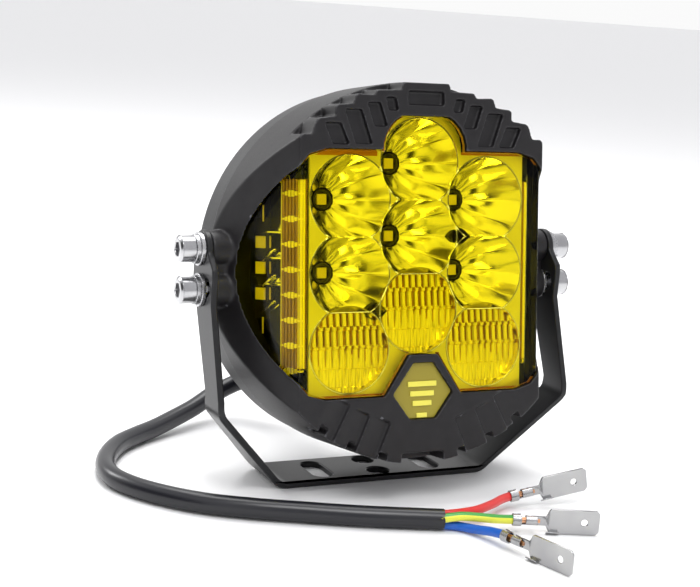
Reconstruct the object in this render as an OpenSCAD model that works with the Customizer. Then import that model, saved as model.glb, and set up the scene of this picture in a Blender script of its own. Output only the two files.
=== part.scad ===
// Round side-shooting LED fog light on a U-bracket, with its supply cable.
// The bracket's base plate lies on z = 0 and the lamp looks toward -Y.
// The origin is the middle of the two round bolt holes, on the plate's lower face.

/* [Lamp body] */
// Outer radius of the round cast body
body_r = 70.5; // [69:0.5:72]
// Height of the front casting, from the seam to its front face
front_h = 39; // [38:0.5:40]
// Half width of the flat front face, where the slanted sides begin
face_half_w = 50.5; // [50:0.5:52]
// Angle between the slanted sides and the front face
side_angle = 64; // [62:1:65]
// Radius of the round end of each side window
window_r = 63.5; // [62:0.5:64]
// Half width of the window's top edge, before its corner is cut off
window_cut_x = 40; // [38:0.5:44]
// Half height of the window where the cut corners end
window_cut_h = 34; // [32:0.5:38]
// Half height of the front window
window_half_h = 45; // [44:0.5:46]
// Thickness of the casting at the window frame
wall = 2.8; // [2.6:0.1:3]
// Number of cooling fins on the back
fin_count = 13; // [9:2:15]
// How far the fins reach behind the seam
rear_depth = 31; // [28:1:34]

/* [Optics] */
// Radius of a bowl at its rim
bowl_r = 16.1; // [15.8:0.1:16.3]
// Distance between the columns of bowls
column_pitch = 28.3; // [28:0.1:28.6]
// Distance between the bowls in a column
row_pitch = 27.4; // [27:0.1:27.8]
// Height of the top bowl of the outer columns above the lamp's axis
top_row = 27.1; // [26.5:0.1:27.5]

/* [Bracket] */
// Distance between the outer faces of the two arms
bracket_w = 149.4; // [147:0.2:151]
// Thickness of the sheet steel
sheet = 2.5; // [2:0.1:2.6]
// Depth of the base plate, front to back
plate_d = 25.4; // [25:0.2:28]
// Half length of the flat base plate
plate_half_l = 44; // [43:0.5:46]
// Height of the pivot bolts above the ground
pivot_z = 89.5; // [89:0.5:92]
// How far the pivot bolts sit behind the middle of the plate
pivot_y = 4; // [3:0.5:5]
// Upward tilt of the lamp as it stands
tilt = 8.5; // [0:0.5:12]
// Diameter of the round bolt holes in the base plate
hole_d = 9; // [8.4:0.1:9]
// Width of the slots beside the bolt holes
slot_w = 8.5; // [8:0.1:9]
// Distance between the centres of a slot's round ends
slot_l = 10; // [9:0.2:11]
// How far each slot is from the middle of the plate
slot_at = 23.4; // [22:0.2:25]

/* [Bolts] */
// Thread diameter of the four side bolts
bolt_d = 6; // [5.9:0.1:6]
// Distance between the pivot bolt and the locking bolt
bolt_pitch = 15; // [15:0.5:16]

/* [Cable] */
// Diameter of the cable's jacket
cable_d = 7.5; // [7:0.1:8]
// Diameter of each insulated core
core_d = 3.4; // [3:0.1:3.6]

/* [Hidden] */
$fn = 96;

// Lamp-frame places. The lamp is drawn face up: X right, Y up the face, Z out of the face.
pivot_up = 8.5;          // pivot bolt above the lamp's axis
pivot_fwd = 4.5;         // pivot bolt in front of the seam
gap = 0.1;               // fitting gap between neighbouring inner pieces
boss_face = bracket_w / 2 - sheet;
boss_t = 9;              // how deep the side lugs are rooted
boss_r = 6.6;
boss_h = 8;
cavity_r = 66;
lip = wall;              // depth of the frame in front of the lens
lens_t = 2.5;
pane_top = front_h - 0.8;
pane_sink = 1.2;         // how far the pane lies under the slanted sides
lens_top = front_h - lip - 0.6;
lens_under = lens_top - lens_t;
rim_top = lens_under - gap;          // front plane of the reflector plate
plate_t = 1.4;
board_top = 6.6;
board_t = 1.6;
pad_top = board_top - board_t;
chip_t = 0.8;
bowl_floor = board_top + 1.4;
throat_r = 4.6;
guide_t = 1.6;
side_board_z = -12;      // underside of the side boards, measured from the slanted face
pocket = [58, 34];       // driver pocket in the rear housing
pocket_floor = -9;
base_back = -14;
rear_face = -0.4;        // front plane of the rear casting, where the seal stands proud
screw_seat = base_back + 0.6;        // floor of the spot faces under the screw heads
fin_pitch = 10;
fin_t = 2.4;
seal_r = 66.6;
seal_w = 2;
seal_depth = 0.8;
bead = 0.6;              // thickness of the silicone bead under the frame
screw_d = 3;
spacer_t = 1;
gland_seat = base_back + 1;
gland_inner = -6;
breather_at = [20, -42];
arm_x = bracket_w / 2;

// Bowl centres, six spots then three floods.
spots = [[-column_pitch, top_row], [column_pitch, top_row],
    [-column_pitch, top_row - row_pitch], [column_pitch, top_row - row_pitch],
    [0, top_row + row_pitch / 2], [0, top_row - row_pitch / 2]];
floods = [[-column_pitch, top_row - 2 * row_pitch], [column_pitch, top_row - 2 * row_pitch],
    [0, top_row - 1.5 * row_pitch]];

// Hardware
head_d = 10;
head_h = 6;
washer_d = 12.4;
washer_t = 1.6;
spring_d = 11;
spring_t = 1.6;
bolt_reach = 4.4;        // length of thread inside the housing

// Pockets of the tread on one side: X, Y, width, height, lean
pockets = [[36, 50.4, 6.6, 7.6, -1.7], [27.4, 53, 6.8, 12.4, -2.2], [19.9, 57.6, 5.4, 8.6, -1.5],
    [13.9, 61.6, 4, 4.8, -0.6]];
pocket_depth = 2.1;
// Corners of the tread's stairs on one side
stairs = [[-1, 69.6], [9.6, 69.6], [10.4, 66.8], [20.2, 66.5], [21.2, 64.6], [28.6, 64.9],
    [29.6, 61.4], [36.6, 60.7], [36.8, 56.6], [44, 55.6], [46, 50]];
// Right half of the window's raised middle
hump = [[17.2, 41], [17.2, 47.5], [16.4, 50.5], [14.6, 53.6], [12, 56.2], [9.4, 57.5]];
crown_from = 28;         // height above the seam where the tread begins
// Edges of the overlapping plates at the foot: outer end X and Y, turn
foot_plates = [[36.8, -59.5, -28], [27.9, -64, -24], [19.3, -67.4, -24]];
plate_step = 1.4;        // how far one foot plate stands over the next
plate_w = 8.5;
// Gaps between the ribs at the foot, by angle
foot_gaps = [14, 25, 36];
gap_w = 3.4;
gap_in = 3;
foot_half_w = 8.8;       // half width of the recess in the middle of the foot
foot_up = 66.4;          // how far below the axis the recess ends

// Bolts that hold the two castings together, by angle
case_screw_r = 62.3;
case_screw_angles = [35, 90, 145, 215, 250, 290, 325];
board_screw_at = [[14.2, 34], [-14.2, 34], [38, -14], [-38, -14], [0, -36]];

// Cable route from the gland, in millimetres, chosen by hand
gland_at = [-12, -42];
gland_tip = 45;          // how far the gland reaches behind the seam
stub_start = 20;         // where the cable begins inside the gland, behind the seam
stub_route = [[-12, 54, 31], [-12.5, 62, 28.5], [-14.5, 70, 25], [-18, 76, 21], [-22, 79, 18],
    [-26, 80, 16]];
main_route = [[-26.8, 80, 16], [-31, 80, 14], [-39, 78, 11], [-48, 73, 8], [-58, 67, 6],
    [-70, 59, 4.4], [-80, 52, 4], [-90, 43, 4], [-98, 31, 4], [-103, 18, 4], [-104, 5, 4],
    [-100, -7, 4], [-92, -19, 4], [-81, -30, 4], [-67, -39, 4], [-51, -47, 4], [-30, -57, 4],
    [-4, -67, 4]];
jacket_way = [26, -10, 0];   // direction of the jacket where it ends
main_end = main_route[len(main_route) - 1];

// Start of a core in the jacket's end, at a place across and above its middle.
function core_start(across, above) =
    main_end + across * unit([-jacket_way[1], jacket_way[0], 0]) + [0, 0, above];

red_route = [core_start(1.82, 1.05), [3, -66, 5.3], [11, -64.5, 5.2], [20, -60, 5],
    [27, -55.5, 4.8], [31.5, -53.5, 4.8]];
earth_route = [core_start(-1.82, 1.05), [1, -70.4, 5.8], [7, -72.4, 5.6], [13, -74.2, 5.1],
    [19, -75.5, 4.8]];
blue_route = [core_start(0, -2.05), [0.5, -69.5, 1.85], [4, -75, 2.4], [6.5, -81.5, 3.7],
    [7.8, -88, 4.8]];
terminal_h = 4.8;        // height of the terminals' middle above the ground
// Where each terminal starts, its heading and its rise
red_terminal = [31.5, -53.5, -8, 11];
earth_terminal = [19, -75.5, -22, 0];
blue_terminal = [7.8, -88, -75, 0];

// ---- placing ----

// Puts the lamp, drawn face up, on its pivot at the standing tilt.
module on_pivot() {
    translate([0, pivot_y, pivot_z])
        rotate([-tilt, 0, 0])
            translate([0, pivot_fwd, -pivot_up])
                rotate([90, 0, 0])
                    children();
}

// Copies a shape to both sides of the lamp.
module both_sides() {
    children();
    mirror([1, 0, 0]) children();
}

// Local frame on a slanted side: X down the slope, Y up the face, Z outward.
module on_slope(side = 1) {
    mirror([side < 0 ? 1 : 0, 0, 0])
        translate([face_half_w, 0, front_h])
            rotate([0, side_angle, 0])
                children();
}

// Everything outside a slanted side that is sunk by depth, to be cut away.
module beyond_slopes(depth) {
    for (side = [-1, 1])
        on_slope(side)
            translate([-60, -90, -depth])
                cube([180, 180, 80]);
}

// ---- outlines ----

// Block of height h with the outline of the front window and its raised middle.
module window_block(h, grow = 0) {
    half_h = window_half_h + grow;
    linear_extrude(h)
        intersection() {
            circle(window_r + grow);
            polygon([for (q = [[1, 1], [-1, 1], [-1, -1], [1, -1]], k = [0, 1])
                let (first = (q[0] * q[1] > 0) == (k == 0))
                first ? [q[0] * body_r * 1.1, q[1] * (window_cut_h + grow)]
                    : [q[0] * (window_cut_x + grow), q[1] * half_h]]);
        }
    linear_extrude(h)
        polygon([for (p = concat(hump, reversed([for (q = hump) [-q[0], q[1]]])))
            [p[0] + sign(p[0]) * grow, p[1] + (p[1] > window_half_h + 1 ? grow : 0)]]);
}

// Hexagonal badge at the foot of the window.
module badge_outline(grow = 0) {
    polygon([[-6 - grow * 0.6, -30 + grow], [6 + grow * 0.6, -30 + grow],
        [15.6 + grow, -44.5], [7.2 + grow * 0.6, -57 - grow], [-7.2 - grow * 0.6, -57 - grow],
        [-15.6 - grow, -44.5]]);
}

// What the tread's stairs and the gaps at the foot leave out of the round body.
module crown_cuts() {
    translate([0, 0, crown_from])
        for (side = [0, 1])
            mirror([side, 0, 0]) {
                linear_extrude(20) polygon(concat(stairs, [[70, 50], [80, 80], [-1, 80]]));
                for (angle = foot_gaps)
                    rotate(angle)
                        translate([-gap_w / 2, -80, 0])
                            cube([gap_w, 80 - body_r + gap_in, 20]);
            }
    // Recess in the middle of the foot
    translate([-foot_half_w, -90, crown_from])
        cube([2 * foot_half_w, 90 - foot_up, 20]);
}

// ---- castings ----

// Lug inside the front casting that takes one screw from the back.
module screw_lug() {
    translate([case_screw_r, 0, -1])
        cylinder(h = 10, d = 7.4);
    translate([case_screw_r, -3.7, -1])
        cube([8, 7.4, 10]);
}

module screw_lugs() {
    for (angle = case_screw_angles)
        rotate(angle)
            screw_lug();
}

module tread_pocket(x, y, w, h, lean) {
    translate([x, y, front_h - pocket_depth])
        linear_extrude(4)
            polygon([[-w / 2 - lean, h / 2], [w / 2 - lean, h / 2],
                [w / 2 + lean, -h / 2], [-w / 2 + lean, -h / 2]]);
}

// Lugs on the side that the bracket bolts to, the lower one set back for a spacer.
module boss() {
    for (bolt = [[pivot_up, 0], [pivot_up - bolt_pitch, spacer_t]])
        translate([boss_face - bolt[1] - boss_t, bolt[0], pivot_fwd])
            rotate([0, 90, 0])
                cylinder(h = boss_t, r = boss_r);
    // Web between the lugs
    translate([boss_face - spacer_t - boss_t, pivot_up - bolt_pitch, 0])
        cube([boss_t, bolt_pitch, boss_h]);
}

module bolt_hole(y) {
    translate([boss_face + 1, y, pivot_fwd])
        rotate([0, -90, 0])
            cylinder(h = bolt_reach + 1.3, d = bolt_d);
}

module front_housing() {
    color("#3b3b3e") on_pivot() difference() {
        union() {
            difference() {
                cylinder(h = front_h, r = body_r);
                beyond_slopes(0);
            }
            both_sides() boss();
        }
        // Nothing of the lugs behind the seam
        translate([-100, -100, -30])
            cube([200, 200, 30]);
        // Inner room, open at the back
        difference() {
            translate([0, 0, -1])
                cylinder(h = front_h - lip + 1, r = cavity_r);
            beyond_slopes(wall);
            screw_lugs();
        }
        // Window through the face and the slanted sides, round the badge
        difference() {
            translate([0, 0, -0.5])
                window_block(front_h + 10);
            linear_extrude(front_h + 20) badge_outline();
            screw_lugs();
        }
        translate([0, 0, 30])
            linear_extrude(20) badge_outline(-3);
        crown_cuts();
        for (side = [-1, 1], p = pockets)
            tread_pocket(side * p[0], p[1], p[2], p[3], side * p[4]);
        tread_pocket(0, 64, 15, 5, 0);
        both_sides()
            for (p = foot_plates)
                translate([p[0], p[1], front_h - plate_step])
                    rotate([0, 0, -p[2] - 180])
                        rotate([0, atan2(plate_step, plate_w), 0])
                            translate([-plate_w, -14, 0])
                                cube([plate_w, 17, 4]);
        both_sides() {
            bolt_hole(pivot_up);
            bolt_hole(pivot_up - bolt_pitch);
        }
        // Screw holes from the back
        for (angle = case_screw_angles)
            rotate(angle)
                translate([case_screw_r, 0, -1])
                    cylinder(h = 8.5, d = screw_d);
    }
}

module rear_housing() {
    color("#2f2f32") on_pivot() difference() {
        union() {
            translate([0, 0, base_back])
                cylinder(h = rear_face - base_back, r = body_r - 1);
            translate([0, 0, base_back + 2])
                cylinder(h = pad_top - base_back - 2, r = 52);
            cooling_fins();
        }
        // Clear room among the fins for the gland and the breather
        translate([gland_at[0], gland_at[1], -60])
            cylinder(h = 60 + gland_seat, d = 24);
        translate([breather_at[0], breather_at[1], -60])
            cylinder(h = 60 + gland_seat, d = 17);
        translate([-pocket[0] / 2, -pocket[1] / 2, pocket_floor])
            cube([pocket[0], pocket[1], 30]);
        translate([gland_at[0], gland_at[1], -40])
            cylinder(h = 42 + gland_inner, d = 10);
        // Channel from the gland to the driver
        translate([gland_at[0] - 4, gland_at[1] - 4, gland_inner])
            cube([8, 34, 30]);
        translate([breather_at[0], breather_at[1], -40])
            cylinder(h = 40 + gland_inner, d = 6);
        // Groove of the seal
        translate([0, 0, rear_face - seal_depth])
            difference() {
                cylinder(h = 2, r = seal_r + seal_w);
                translate([0, 0, -1])
                    cylinder(h = 4, r = seal_r);
            }
        for (angle = case_screw_angles)
            rotate(angle) {
                translate([case_screw_r, 0, -40])
                    cylinder(h = 50, d = screw_d);
                translate([case_screw_r, 0, -40])
                    cylinder(h = 40 + screw_seat, d = 8);
            }
        for (at = board_screw_at)
            translate([at[0], at[1], -3])
                cylinder(h = 20, d = screw_d);
    }
}

// Fins across the back, tapering in toward their tips.
module cooling_fins() {
    intersection() {
        for (i = [0 : fin_count - 1])
            translate([(i - (fin_count - 1) / 2) * fin_pitch - fin_t / 2, -body_r, -rear_depth])
                cube([fin_t, 2 * body_r, rear_depth + base_back + 1]);
        translate([0, 0, -rear_depth - 1])
            cylinder(h = rear_depth + 1, r1 = 55.5, r2 = 73);
    }
}

module housing_seal() {
    color("#151515") on_pivot()
        translate([0, 0, rear_face - seal_depth])
            difference() {
                cylinder(h = seal_depth - rear_face, r = seal_r + seal_w);
                translate([0, 0, -1])
                    cylinder(h = 4, r = seal_r);
            }
}

// ---- front window ----

// Solid that follows the inside of the front casting under the frame.
module inside_form(top, depth, grow, from = 1) {
    difference() {
        translate([0, 0, from])
            window_block(top - from, grow);
        beyond_slopes(depth);
    }
}

module lens() {
    color("#e8d21c") on_pivot() difference() {
        union() {
            // Flange under the frame, and the raised pane that fills the opening
            inside_form(lens_top, wall + bead, 2.2);
            difference() {
                inside_form(pane_top, pane_sink, -0.4);
                translate([0, 0, lens_under])
                    linear_extrude(20) badge_outline(0.5);
            }
        }
        inside_form(lens_under, wall + bead + lens_t, 6, 0);
    }
}

module lens_seal() {
    color("#1c1c1c") on_pivot() difference() {
        inside_form(front_h - lip, wall, 2);
        inside_form(lens_top, wall + bead, 6, 0);
        translate([0, 0, -1])
            window_block(60, 0.5);
    }
}

module badge_insert() {
    color("#b8a21e") on_pivot() {
        translate([0, 0, front_h - lip])
            linear_extrude(1.6) badge_outline(-3.1);
        // Generic mark of three plain bars
        for (row = [0 : 2])
            translate([-6 + row, -42 - row * 3.6, front_h - lip + 1])
                cube([12 - 2 * row, 2, 1.2]);
    }
}

// ---- optics ----

function bowl_r_at(w, grow = 0) =
    sqrt(throat_r * throat_r + (bowl_r * bowl_r - throat_r * throat_r)
        * (w - bowl_floor) / (rim_top - bowl_floor)) + grow;

// Solid of revolution of one bowl, larger by grow.
module bowl(grow = 0, over = 0) {
    steps = 6;
    rotate_extrude()
        polygon(concat([[0, bowl_floor - over]],
            [for (i = [0 : steps])
                let (w = bowl_floor + (rim_top - bowl_floor) * i / steps - (i == 0 ? over : 0))
                [bowl_r_at(max(w, bowl_floor), grow), i == steps ? w + over : w]],
            [[0, rim_top + over]]));
}

module spot_reflector() {
    color("#d9d9d4") on_pivot() intersection() {
        difference() {
            union() {
                translate([0, 0, rim_top - plate_t])
                    window_block(plate_t, 0.5);
                for (at = spots)
                    translate([at[0], at[1], 0])
                        bowl(1.1);
                for (at = floods)
                    translate([at[0], at[1], rim_top - 7.5])
                        cylinder(h = 7.5, r = 16.6);
            }
            for (at = spots)
                translate([at[0], at[1], 0])
                    bowl(0, 0.5);
            for (at = floods) {
                translate([at[0], at[1], rim_top - 6])
                    cylinder(h = 10, r = 15.6);
                translate([at[0], at[1], 0])
                    cylinder(h = 40, r = 13.4);
            }
        }
        translate([-44.6, -80, 0])
            cube([89.2, 160, 60]);
    }
}

module flood_optics() {
    color("#f0dc30") on_pivot()
        for (at = floods)
            translate([at[0], at[1], rim_top - 6])
                intersection() {
                    cylinder(h = 5.4, r = 15.5);
                    union() {
                        translate([-16, -16, 0])
                            cube([32, 32, 4.4]);
                        for (i = [-5 : 5])
                            translate([i * 2.8 - 0.8, -16, 4.39])
                                cube([1.6, 32, 1]);
                    }
                }
}

module light_guide(side) {
    guide_z = -(wall + bead + lens_t) - 0.3 - guide_t;
    color("#f4e23c") on_pivot() on_slope(side)
        translate([3.8, -34, guide_z])
            cube([9.2, 68, guide_t]);
}

module light_guide_left() {
    light_guide(-1);
}

module light_guide_right() {
    light_guide(1);
}

side_rows = [11, 1.6, -7.9];

module side_reflector(side) {
    color("#d9d9d4") on_pivot() on_slope(side) {
        translate([13.4, -36, side_board_z])
            cube([9.2, 72, 1.2]);
        for (row = side_rows)
            translate([0, row - 3.4, side_board_z + 1.19])
                rotate([-90, 0, 0])
                    mirror([0, 1, 0])
                        linear_extrude(6.8)
                            polygon([[13.6, 0], [22.4, 0], [13.6, 3.6]]);
    }
}

module side_reflector_left() {
    side_reflector(-1);
}

module side_reflector_right() {
    side_reflector(1);
}

// ---- electronics ----

module led_board() {
    color("#e9e9e4") on_pivot()
        translate([0, 0, pad_top])
            difference() {
                intersection() {
                    cylinder(h = board_t, r = 50);
                    translate([-45, -60, 0])
                        cube([90, 120, board_t]);
                }
                for (at = board_screw_at)
                    translate([at[0], at[1], -1])
                        cylinder(h = 4, d = screw_d);
            }
}

module led_chips() {
    color("#f4e04a") on_pivot()
        for (at = concat(spots, floods))
            translate([at[0] - 1.9, at[1] - 1.9, board_top])
                cube([3.8, 3.8, chip_t]);
}

module side_board(side) {
    color("#e9e9e4") on_pivot() on_slope(side)
        translate([22.8, -17, side_board_z])
            cube([6.8, 37, 1.2]);
}

module side_board_left() {
    side_board(-1);
}

module side_board_right() {
    side_board(1);
}

module side_chips(side) {
    color("#f4e04a") on_pivot() on_slope(side)
        for (row = side_rows)
            translate([24, row - 2.2, side_board_z + 1.2])
                cube([4.4, 4.4, chip_t]);
}

module side_chips_left() {
    side_chips(-1);
}

module side_chips_right() {
    side_chips(1);
}

module driver_board() {
    color("#1f6b3a") on_pivot()
        translate([-27, -15, pocket_floor + 2]) {
            cube([54, 30, board_t]);
            // Posts that stand on the pocket's floor
            for (x = [3, 51], y = [3, 27])
                translate([x, y, -2])
                    cylinder(h = 2.01, d = 4);
        }
}

module driver_parts() {
    top = pocket_floor + 2 + board_t;
    color("#3a3a3a") on_pivot() {
        translate([-14, 0, top])
            cylinder(h = 6, d = 12);
        for (x = [6, 17])
            translate([x, 6, top])
                cylinder(h = 7, d = 8);
        translate([3, -10, top])
            cube([7, 7, 1.6]);
    }
}

module internal_leads() {
    top = pocket_floor + 2 + board_t;
    color("#b02020") on_pivot()
        for (x = [-24, 24])
            translate([x, 10, top])
                cylinder(h = pad_top - top, d = 1.8);
}

// ---- fasteners and fittings ----

module housing_screws() {
    color("#8f9296") on_pivot()
        for (angle = case_screw_angles)
            rotate(angle)
                translate([case_screw_r, 0, 0])
                    difference() {
                        union() {
                            translate([0, 0, screw_seat - 1])
                                cylinder(h = 8 - screw_seat, d = screw_d);
                            translate([0, 0, screw_seat - 2.4])
                                cylinder(h = 2.4, d = 5.6);
                        }
                        translate([0, 0, screw_seat - 3])
                            cylinder(h = 2, d = 2.9, $fn = 6);
                    }
}

module board_screws() {
    color("#b9bcc0") on_pivot()
        for (at = board_screw_at)
            translate([at[0], at[1], 0])
                difference() {
                    union() {
                        translate([0, 0, -2.6])
                            cylinder(h = board_top + 2.6, d = screw_d);
                        translate([0, 0, board_top])
                            cylinder(h = 2, d = 5.6);
                    }
                    translate([0, 0, board_top + 0.8])
                        cylinder(h = 2, d = 2.9, $fn = 6);
                }
}

module breather_plug() {
    color("#202022") on_pivot()
        translate([breather_at[0], breather_at[1], 0]) {
            translate([0, 0, gland_seat - 1])
                cylinder(h = gland_inner - gland_seat + 1, d = 6);
            translate([0, 0, gland_seat - 3])
                cylinder(h = 3, d = 11);
        }
}

module cable_gland() {
    color("#1d1d1f") on_pivot()
        translate([gland_at[0], gland_at[1], 0])
            difference() {
                union() {
                    translate([0, 0, gland_seat - 1])
                        cylinder(h = gland_inner - gland_seat + 1, d = 10);
                    translate([0, 0, gland_seat - 5])
                        cylinder(h = 5, d = 19.6, $fn = 6);
                    translate([0, 0, gland_seat - 12])
                        cylinder(h = 8, d = 12);
                }
                translate([0, 0, -60])
                    cylinder(h = 80, d = cable_d);
            }
}

module gland_nut() {
    nut_top = gland_seat - 5.2;
    color("#1d1d1f") on_pivot()
        translate([gland_at[0], gland_at[1], 0])
            difference() {
                union() {
                    translate([0, 0, nut_top - 9])
                        cylinder(h = 9, d = 17);
                    translate([0, 0, -gland_tip])
                        cylinder(h = gland_tip + nut_top - 8.99, d1 = 10.4, d2 = 15);
                }
                translate([0, 0, nut_top - 7])
                    cylinder(h = 20, d = 12);
                translate([0, 0, -60])
                    cylinder(h = 80, d = cable_d);
            }
}

// Places a shape on each side bolt's axis, pointing outward from the arm.
module on_bolts(ups) {
    on_pivot() both_sides()
        for (up = ups)
            translate([arm_x, up, pivot_fwd])
                rotate([0, 90, 0])
                    children();
}

module socket_bolt() {
    head_at = washer_t + spring_t;
    difference() {
        union() {
            translate([0, 0, -(sheet + bolt_reach)])
                cylinder(h = sheet + bolt_reach + head_at, d = bolt_d);
            translate([0, 0, head_at])
                cylinder(h = head_h - 0.8, d = head_d);
            translate([0, 0, head_at + head_h - 0.81])
                cylinder(h = 0.81, d1 = head_d, d2 = head_d - 1.6);
        }
        translate([0, 0, head_at + head_h - 3])
            cylinder(h = 4, d = 5.8, $fn = 6);
    }
}

module pivot_bolts() {
    color("#c9ccd0") on_bolts([pivot_up]) socket_bolt();
}

module locking_bolts() {
    color("#c9ccd0") on_bolts([pivot_up - bolt_pitch]) socket_bolt();
}

module washer(outer, inner, thick) {
    difference() {
        cylinder(h = thick, d = outer);
        translate([0, 0, -1])
            cylinder(h = thick + 2, d = inner);
    }
}

module flat_washers() {
    color("#d2d4d8") on_bolts([pivot_up, pivot_up - bolt_pitch])
        washer(washer_d, bolt_d + 0.2, washer_t);
}

module spring_washers() {
    color("#bfc2c7") on_bolts([pivot_up, pivot_up - bolt_pitch])
        translate([0, 0, washer_t])
            difference() {
                washer(spring_d, bolt_d + 0.2, spring_t);
                translate([0, -0.5, -1])
                    cube([10, 1, 5]);
            }
}

module arm_spacers() {
    color("#d2d4d8") on_bolts([pivot_up - bolt_pitch])
        translate([0, 0, -sheet - spacer_t])
            washer(washer_d, bolt_d + 0.2, spacer_t);
}

// ---- bracket ----

// Centre line of the bent sheet, from the middle of the plate up one arm, as X and Z.
bend_r = 7;
slope_foot = [plate_half_l, sheet / 2];
slope_top = [arm_x - sheet / 2, 33];

// Points of a bent strip's outline, offset by d to the outer side.
function strip(d) =
    let (
        a = atan2(slope_top[1] - slope_foot[1], slope_top[0] - slope_foot[0]),
        foot = [for (i = [0 : 4]) let (t = a * i / 4)
            [slope_foot[0] - bend_r * tan(a / 2) + (bend_r + d) * sin(t),
             slope_foot[1] + bend_r - (bend_r + d) * cos(t)]],
        b = 90 - a,
        turn = bend_r * tan(b / 2),
        top = [for (i = [0 : 4]) let (t = a + b * i / 4)
            [slope_top[0] - bend_r + (bend_r + d) * sin(t),
             slope_top[1] + turn - (bend_r + d) * cos(t)]]
    )
    concat(foot, top, [[slope_top[0] + d, 120]]);

function reversed(list) = [for (i = [len(list) - 1 : -1 : 0]) list[i]];

// The whole strip's edge, from the left arm's top to the right one's, or back.
function whole_strip(d) =
    concat(reversed([for (p = strip(d)) [-p[0], p[1]]]), strip(d));

// Side outline of the bracket, as Y and Z.
arm_outline = [[-plate_d / 2, -1], [plate_d / 2, -1], [plate_d / 2, 4], [-7.6, 33.5],
    [-8, 38], [6.2, 68], [10, 72], [11, 76], [11, pivot_z], [-3, pivot_z], [-5, 87.4],
    [-9, 84], [-9.6, 81], [-9.4, 71], [-22, 38], [-22.6, 33.5], [-plate_d / 2, 3]];

function on_arc(r, a) = [pivot_y + r * sin(a), pivot_z - r * cos(a)];

module bracket() {
    slot_from = -5.5;
    slot_to = 30.5;
    color("#262628") difference() {
        intersection() {
            translate([0, 40, 0])
                rotate([90, 0, 0])
                    linear_extrude(80)
                        polygon(concat(whole_strip(sheet / 2), reversed(whole_strip(-sheet / 2))));
            rotate([90, 0, 90])
                translate([0, 0, -100]) {
                    linear_extrude(200) polygon(arm_outline);
                    translate([pivot_y, pivot_z, 0])
                        cylinder(h = 200, r = 7);
                }
        }
        // Two bolt holes on the centre line of the plate
        for (side = [-1, 1])
            translate([0, side * 6.85, -1])
                cylinder(h = 10, d = hole_d);
        // Slots beside them
        for (side = [-1, 1])
            translate([side * slot_at, 0, -1]) {
                for (end = [-1, 1])
                    translate([0, end * slot_l / 2, 0])
                        cylinder(h = 10, d = slot_w);
                translate([-slot_w / 2, -slot_l / 2, 0])
                    cube([slot_w, slot_l, 10]);
            }
        // Pivot holes
        translate([-100, pivot_y, pivot_z])
            rotate([0, 90, 0])
                cylinder(h = 200, d = bolt_d + 0.1);
        // Arc slots for the locking bolts
        translate([-100, pivot_y, pivot_z])
            rotate([0, 90, 0])
                intersection() {
                    difference() {
                        cylinder(h = 200, r = bolt_pitch + bolt_d / 2 + 0.2);
                        translate([0, 0, -1])
                            cylinder(h = 202, r = bolt_pitch - bolt_d / 2 - 0.2);
                    }
                    linear_extrude(200)
                        polygon([[0, 0], 40 * [cos(slot_from), sin(-slot_from)],
                            40 * [cos(12), -sin(12)], 40 * [cos(slot_to), -sin(slot_to)]]);
                }
        for (a = [slot_from, slot_to])
            translate([-100, pivot_y - bolt_pitch * sin(a), pivot_z - bolt_pitch * cos(a)])
                rotate([0, 90, 0])
                    cylinder(h = 200, d = bolt_d + 0.4);
    }
}

// ---- cable ----

function unit(v) = v / norm(v);

// Direction of the route at point i.
function heading(route, i) =
    unit(route[min(i + 1, len(route) - 1)] - route[max(i - 1, 0)]);

// Point of a smooth curve through the route between points i and i + 1.
function between(route, i, t) =
    let (
        p0 = route[max(i - 1, 0)], p1 = route[i], p2 = route[i + 1],
        p3 = route[min(i + 2, len(route) - 1)]
    )
    0.5 * (2 * p1 + (p2 - p0) * t + (2 * p0 - 5 * p1 + 4 * p2 - p3) * t * t
        + (3 * p1 - p0 - 3 * p2 + p3) * t * t * t);

function smooth(route, steps) =
    [for (i = [0 : len(route) - 2], k = [0 : steps - 1]) between(route, i, k / steps),
     route[len(route) - 1]];

// Tube swept along the route, with flat ends.
module tube(route, d, steps = 1, sides = 10, first = undef, last = undef) {
    path = smooth(route, steps);
    n = len(path);
    function way(i) = i == 0 && first != undef ? first
        : i == n - 1 && last != undef ? last : heading(path, i);
    function side_of(v) = unit(cross(v, [0, 0, 1]));
    points = [for (i = [0 : n - 1])
        let (v = way(i), a = side_of(v), b = cross(a, v))
        for (k = [0 : sides - 1])
            path[i] + d / 2 * (cos(360 * k / sides) * a + sin(360 * k / sides) * b)];
    walls = [for (i = [0 : n - 2], k = [0 : sides - 1], half = [0, 1])
        let (next = (k + 1) % sides, a = i * sides, b = (i + 1) * sides)
        half == 0 ? [a + k, b + k, b + next] : [a + k, b + next, a + next]];
    ends = [[for (k = [0 : sides - 1]) k], [for (k = [sides - 1 : -1 : 0]) (n - 1) * sides + k]];
    polyhedron(points, concat(walls, ends), convexity = 6);
}

// Place of a point of the lamp, given face up, in the standing object.
function stand(x, up, out) =
    let (y = -out + pivot_fwd, z = up - pivot_up)
    [x, pivot_y + y * cos(tilt) + z * sin(tilt), pivot_z - y * sin(tilt) + z * cos(tilt)];

module cable_stub() {
    inside = [for (depth = [stub_start, gland_tip]) stand(gland_at[0], gland_at[1], -depth)];
    out = [0, cos(tilt), -sin(tilt)];
    color("#17171a")
        tube(concat(inside, stub_route), cable_d, 2, 10, out, [-1, 0, 0]);
}

module cable() {
    color("#17171a")
        tube(main_route, cable_d, 2, 10, [-1, 0, 0], unit(jacket_way));
}

module core_red() {
    color("#c81e1e") tube(red_route, core_d, 2, 8, unit(jacket_way), blade_way(red_terminal));
}

module core_earth() {
    color("#d8d02a") tube(earth_route, core_d, 2, 8, unit(jacket_way), blade_way(earth_terminal));
}

module core_blue() {
    color("#1f5fbf") tube(blue_route, core_d, 2, 8, unit(jacket_way), blade_way(blue_terminal));
}

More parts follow.
